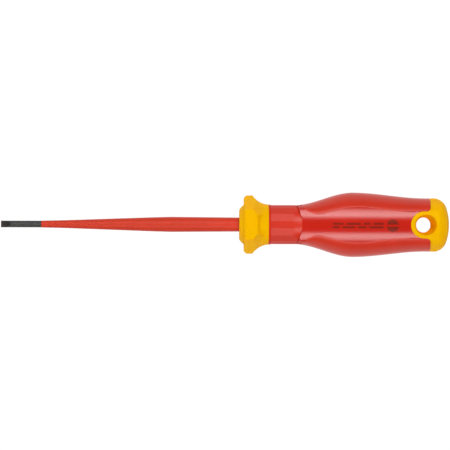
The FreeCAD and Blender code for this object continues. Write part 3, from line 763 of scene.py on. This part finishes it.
def make_cap(material, rim_light_wall_material):
    """The end cap: rows from the hang hole's neck up its flare and out to the cap's edge and tail."""
    half = cap_outline()[::-1]
    edge = resample(chain(half, half[::-1] * np.array([1.0, -1.0])), 0.22)
    edge[0] = (CAP_EDGE[0], half_width(CAP_EDGE[0]))
    edge[-1] = (CAP_EDGE[0], -half_width(CAP_EDGE[0]))
    edge_v, edge_psi = edge[:, 0], angle_of(edge[:, 0], edge[:, 1])
    lead = np.abs(edge[:, 1])
    true_angle = np.degrees(np.arctan2(lead, edge[:, 0] - HOLE_X))
    corners = [LOBE_RADIUS, LOBE_RADIUS + CORNER_RADIUS, CAP_EDGE[1]]
    spread_angle = np.interp(lead, corners, [LOBE_ANGLE, CORNER_ANGLE, SIDE_ANGLE])
    mixed = np.where(lead > LOBE_RADIUS - 0.02, spread_angle, np.maximum(true_angle, LOBE_ANGLE))
    edge_theta = np.where(edge[:, 1] >= 0, mixed, 360.0 - mixed)
    tail_v = CAP_EDGE[0] + (TAIL_TIP - CAP_EDGE[0]) * np.linspace(0.0, 1.0, 60)
    pole = np.linspace(math.pi, 0.0, 44)
    there = np.linspace(360.0 - SIDE_ANGLE, 360.0 - POLE_ANGLE, tail_v.size)
    across = np.linspace(360.0 - POLE_ANGLE, 360.0 + POLE_ANGLE, pole.size)
    back = np.linspace(360.0 + POLE_ANGLE, 360.0 + SIDE_ANGLE, tail_v.size)
    tail = np.concatenate(
        [
            np.stack([tail_v, np.full(tail_v.size, math.pi), there], 1)[1:],
            np.stack([np.full(pole.size, TAIL_TIP), pole, across], 1)[1:],
            np.stack([tail_v[::-1], np.zeros(tail_v.size), back], 1)[1:-1],
        ]
    )
    target_v = np.concatenate([edge_v, tail[:, 0]])
    target_psi = np.concatenate([edge_psi, tail[:, 1]])
    theta = np.radians(np.concatenate([edge_theta, tail[:, 2]]))
    is_edge = np.arange(theta.size) < len(edge)
    wall = np.array(HOLE_PROFILE)
    quarter = np.linspace(0.0, math.pi / 2, 16)[1:]
    flare_width = FLARE_RADIUS - wall[2, 0]
    flare = np.stack(
        [FLARE_RADIUS - flare_width * np.cos(quarter), wall[2, 1] + FLARE_RISE * np.sin(quarter)], 1
    )
    neck = wall[0] + (wall[1] - wall[0]) * np.linspace(0.0, 1.0, 4)[:, None]
    cone = wall[1] + (wall[2] - wall[1]) * np.linspace(0.0, 1.0, 10)[1:, None]
    profile = np.concatenate([neck, cone, flare])
    rows = []
    for r, z in profile:
        x, y = HOLE_X + r * np.cos(theta), r * np.sin(theta)
        top = form(x, angle_of(x, y))[..., 2]
        z_row = np.full(top.shape, z) if z < STRAIGHT_BELOW else blended(z, top, FLARE_BLEND, -1)
        rows.append(np.stack([x, y, z_row], -1))
    x, y = HOLE_X + FLARE_RADIUS * np.cos(theta), FLARE_RADIUS * np.sin(theta)
    from_v, from_psi = x, angle_of(x, y)
    last_steps = [0.93, 0.955, 0.972, 0.984, 0.993, 1.0]
    steps = np.concatenate([np.linspace(0.0, 0.9, 44)[1:], last_steps])
    path = np.stack([edge_v, edge[:, 1]], 1)
    for t in steps:
        v = from_v + (target_v - from_v) * t
        psi = from_psi + (target_psi - from_psi) * t
        here = form(v, psi)
        away = distance_to(path, here[:, 0], here[:, 1])
        lift = rounded_edge(away, CAP_ROUND, CAP_PROUD, CAP_SINK)
        if t == 1.0:
            lift = np.where(is_edge, -CAP_SINK, 0.0)
        lift = np.where(v > LIFT_END, 0.0, lift)
        row = raised(v, psi, lift)
        if t == 1.0:
            row[:, 2] = np.where(is_edge, row[:, 2], 0.0)
            row[0, 2] = row[len(edge) - 1, 2] = 0.0
        rows.append(row)
    rows = np.array(rows)
    count, columns = rows.shape[:2]
    flip = np.array([1.0, 1.0, -1.0])
    size = count * columns
    points = [rows.reshape(-1, 3), (rows * flip).reshape(-1, 3)]
    faces = grid_faces(count, columns, around=True) + grid_faces(
        count, columns, around=True, start=size
    )
    rim = rows[-1, : len(edge)]
    levels = (1.0, 0.7, 0.35, 0.0, -0.35, -0.7, -1.0)
    curtain = np.stack([rim * np.array([1.0, 1.0, level]) for level in levels])
    faces += grid_faces(curtain.shape[0], len(edge), start=2 * size)
    points.append(curtain.reshape(-1, 3))
    cap = make_piece(
        "visual_end_cap", np.concatenate(points), faces, material, "yellow_plastic", "end_cap"
    )
    # The hole's wall gets the second material: painted light in the rim-light colour, without shine.
    cap.data.materials.append(rim_light_wall_material)
    for face in cap.data.polygons:
        away = math.hypot(face.center.x / MM - HOLE_X, face.center.y / MM)
        if away < MATTE_LIT_WALL_RADIUS and abs(face.center.z) < MATTE_LIT_WALL_Z * MM:
            face.material_index = 1


def decal(name, outline_rows, place, material, slot):
    """A thin closed patch: rows of flat points, each set on a surface by place(points, lift)."""
    top = place(outline_rows, 0.012)
    bottom = place(outline_rows, -0.05)
    rows, columns = top.shape[:2]
    size = rows * columns
    faces = grid_faces(rows, columns) + grid_faces(rows, columns, start=size)
    outline = [r * columns for r in range(rows)]
    outline += [(rows - 1) * columns + c for c in range(1, columns)]
    outline += [r * columns + columns - 1 for r in range(rows - 2, -1, -1)]
    outline += [c for c in range(columns - 2, 0, -1)]
    for k, a in enumerate(outline):
        b = outline[(k + 1) % len(outline)]
        faces.append((a, b, b + size, a + size))
    points = np.concatenate([top.reshape(-1, 3), bottom.reshape(-1, 3)])
    make_piece(name, points, faces, material, slot)


def bar_rows(x0, x1, y0, y1, corner):
    """Rows of points of a rounded bar."""
    x = np.linspace(x0, x1, max(8, int((x1 - x0) / 0.12)))
    inset = np.clip(corner - np.minimum(x - x0, x1 - x), 0.0, corner)
    cut = corner - np.sqrt(np.maximum(0.0, corner**2 - inset**2))
    low, high = y0 + cut, y1 - cut
    share = np.linspace(0.0, 1.0, 7)[None, :]
    y = low[:, None] * (1 - share) + high[:, None] * share
    return np.stack([np.repeat(x[:, None], 7, 1), y], -1)


def disc_rows(x, y, radius, gap, side):
    """Rows of points of half a disc, cut off at half a slot's width from its middle."""
    turn = math.asin(gap / radius)
    angle = np.linspace(turn, math.pi - turn, 48)
    across = x + radius * np.cos(angle)
    up = radius * np.sin(angle)
    share = np.linspace(0.0, 1.0, 9)[None, :]
    rise = gap + (up[:, None] - gap) * share
    return np.stack([np.repeat(across[:, None], 9, 1), y + side * rise], -1)


def on_panel(points, lift):
    v = points[..., 0]
    return raised(v, angle_of(v, points[..., 1]), lift)


def on_sleeve(points, lift):
    x, y = points[..., 0], points[..., 1]
    r = sleeve_radius(x)
    angle = y / r
    r = r + lift * 4
    return np.stack([x, r * np.sin(angle), r * np.cos(angle)], -1)


def make_print(ink, red):
    """Generic printed marks on the panel, and raised dashes on the sleeve."""
    marks = {
        "panel_mark_disc_a": disc_rows(DISC_X, MARK_Y, DISC_RADIUS, DISC_GAP, 1.0),
        "panel_mark_disc_b": disc_rows(DISC_X, MARK_Y, DISC_RADIUS, DISC_GAP, -1.0),
    }
    for k, (x0, x1) in enumerate(UPPER_BARS):
        marks[f"panel_mark_upper_{k}"] = bar_rows(x0, x1, MARK_Y + BAR_NEAR, MARK_Y + BAR_FAR, BAR_CORNER)
    for k, (x0, x1) in enumerate(LOWER_BARS):
        marks[f"panel_mark_lower_{k}"] = bar_rows(x0, x1, MARK_Y - BAR_FAR, MARK_Y - BAR_NEAR, BAR_CORNER)
    for name, rows in marks.items():
        decal(name, rows, on_panel, ink, "red_gloss_plastic")
    for k, (x0, x1) in enumerate(SLEEVE_DASHES):
        rows = bar_rows(x0, x1, -DASH_HALF, DASH_HALF, DASH_CORNER)
        decal(f"sleeve_dash_{k}", rows, on_sleeve, red, "red_sleeve_plastic")


# studio, in metres

MIDDLE_X = 0.094
STRIP_LENGTH, STRIP_AWAY = 0.62, 0.6
FLOOR_HALF = 3.0


def add_strip(name, tilt, width, watts):
    """A long soft light along X, tilted about X from straight above."""
    light = bpy.data.lights.new(name, "AREA")
    light.shape = "RECTANGLE"
    light.size = STRIP_LENGTH
    light.size_y = width
    light.energy = watts
    lamp = bpy.data.objects.new(name, light)
    bpy.context.scene.collection.objects.link(lamp)
    lamp.location = (MIDDLE_X, -STRIP_AWAY * math.sin(tilt), STRIP_AWAY * math.cos(tilt))
    lamp.rotation_euler = (tilt, 0.0, 0.0)


def add_floor(z):
    """A plain white floor, lit evenly."""
    mesh = bpy.data.meshes.new("floor")
    corners = ((-1, -1), (1, -1), (1, 1), (-1, 1))
    points = [(MIDDLE_X + FLOOR_HALF * a, FLOOR_HALF * b, z) for a, b in corners]
    mesh.from_pydata(points, [], [(0, 1, 2, 3)])
    material = bpy.data.materials.new("floor_white")
    material.use_nodes = True
    tree = material.node_tree
    tree.nodes.clear()
    output = node(tree, "ShaderNodeOutputMaterial")
    glow = node(tree, "ShaderNodeEmission", {"Color": (1, 1, 1, 1), "Strength": 1.02})
    tree.links.new(glow.outputs["Emission"], output.inputs["Surface"])
    mesh.materials.append(material)
    floor = bpy.data.objects.new("floor", mesh)
    bpy.context.scene.collection.objects.link(floor)


def add_camera():
    data = bpy.data.cameras.new("camera")
    data.lens = 112.0
    data.sensor_width = 36.0
    camera = bpy.data.objects.new("camera", data)
    camera.location = (0.09406, -0.00021, 0.588)
    camera.rotation_euler = (0.0, 0.0, CAMERA_ROLL)
    bpy.context.scene.collection.objects.link(camera)
    bpy.context.scene.camera = camera


def light_world(horizon, zenith, far_end):
    """A white room, brighter near the horizon than overhead, and dimmer beyond the handle's end."""
    world = bpy.data.worlds.new("studio")
    world.use_nodes = True
    tree = world.node_tree
    direction = node(tree, "ShaderNodeTexCoord").outputs["Generated"]
    parts = node(tree, "ShaderNodeSeparateXYZ", {"Vector": direction})
    along, up = parts.outputs["X"], parts.outputs["Z"]
    level = node(
        tree,
        "ShaderNodeMapRange",
        {"Value": up, "From Min": 0.0, "From Max": 0.36, "To Min": horizon, "To Max": zenith},
    ).outputs["Result"]
    shade = node(
        tree,
        "ShaderNodeMapRange",
        {"Value": along, "From Min": 0.25, "From Max": 0.85, "To Min": 1.0, "To Max": far_end},
    ).outputs["Result"]
    level = node(
        tree, "ShaderNodeMath", {0: level, 1: shade}, operation="MULTIPLY"
    ).outputs["Value"]
    background = tree.nodes["Background"]
    background.inputs["Color"].default_value = (1.0, 1.0, 1.0, 1.0)
    tree.links.new(level, background.inputs["Strength"])
    bpy.context.scene.world = world


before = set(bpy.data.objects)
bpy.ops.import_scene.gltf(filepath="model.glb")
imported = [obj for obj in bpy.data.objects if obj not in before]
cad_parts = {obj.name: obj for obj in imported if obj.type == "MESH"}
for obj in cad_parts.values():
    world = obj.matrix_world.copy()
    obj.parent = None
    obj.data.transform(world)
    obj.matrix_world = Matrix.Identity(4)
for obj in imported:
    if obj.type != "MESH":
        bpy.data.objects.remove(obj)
cad_low, cad_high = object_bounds()

sleeve_red = plastic(
    "sleeve_red", (0.525, 0.0275, 0.006), (0.555, 0.0305, 0.0075), (0.46, 0.54), 3200.0, 0.06, specular=0.24
)
soft_red = plastic(
    "soft_red", (0.52, 0.0185, 0.0025), (0.555, 0.021, 0.0035), (0.31, 0.39), 2200.0, 0.15, specular=0.4
)
neck_red = plastic(
    "neck_red", (0.53, 0.0175, 0.0015), (0.57, 0.02, 0.0025), (0.33, 0.41), 2200.0, 0.3, specular=0.36,
    matte_rim=True,
)
gloss_red = plastic(
    "gloss_red", (0.48, 0.0125, 0.0048), (0.505, 0.0135, 0.0055), (0.15, 0.19), 1200.0, 0.03,
    flow=0.02, specular=0.43, matte_rim=True,
)
# The yellow's rim colour is a painted rim light on its facets and edges that turn away.
yellow = plastic(
    "yellow", (0.765, 0.405, 0.0), (0.795, 0.425, 0.0005), (0.38, 0.46), 2400.0, 0.1, specular=0.07,
    tint=(1.0, 0.8, 0.15), glow=0.35, rim=(0.86, 0.42, 0.0), matte_rim=True,
)
# Painted light: the hole's wall in the colour of the yellow's painted rim light, without shine.
hole_rim_light_yellow = plastic(
    "hole_rim_light_yellow", (0.87, 0.395, 0.0), (0.9, 0.42, 0.0005), (0.8, 0.9), 2400.0, 0.1, specular=0.0
)
# Painted highlight: a brighter, rough copy of the shell's red for the raised ring at the neck.
ring_highlight_red = plastic(
    "ring_highlight_red", (0.56, 0.02, 0.003), (0.6, 0.0225, 0.004), (0.5, 0.58), 2200.0, 0.05, specular=0.15
)
ink = plastic("print_ink", (0.2, 0.0125, 0.0048), (0.22, 0.0135, 0.0055), (0.17, 0.23), 3000.0, 0.1)
dark_steel = steel("dark_steel")

make_blade(dark_steel)
make_sleeve(sleeve_red)
make_collar(yellow)
make_neck(neck_red)
make_shell(gloss_red, ring_highlight_red)
make_grip("visual_soft_grip_left", 1.0, soft_red, "soft_grip_left")
make_grip("visual_soft_grip_right", -1.0, soft_red, "soft_grip_right")
make_cap(yellow, hole_rim_light_yellow)
make_print(ink, sleeve_red)
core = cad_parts["handle_core"]
core.data.materials.clear()
core.data.materials.append(yellow)

add_floor(cad_low.z)
light_world(1.0, 0.07, 0.05)
for side in (-1, 1):
    tilt, width = math.radians(31.5 + 0.6 * side), 0.26 - 0.02 * side
    add_strip(f"strip_wide_{side + 1}", side * tilt, width, 1.78)
    add_strip(f"strip_core_{side + 1}", side * math.radians(31.5), 0.13, 0.83 - 0.03 * side)
add_strip("strip_key", math.radians(-25.0), 0.035, 0.42)
add_camera()
bpy.context.scene.view_settings.view_transform = "Standard"
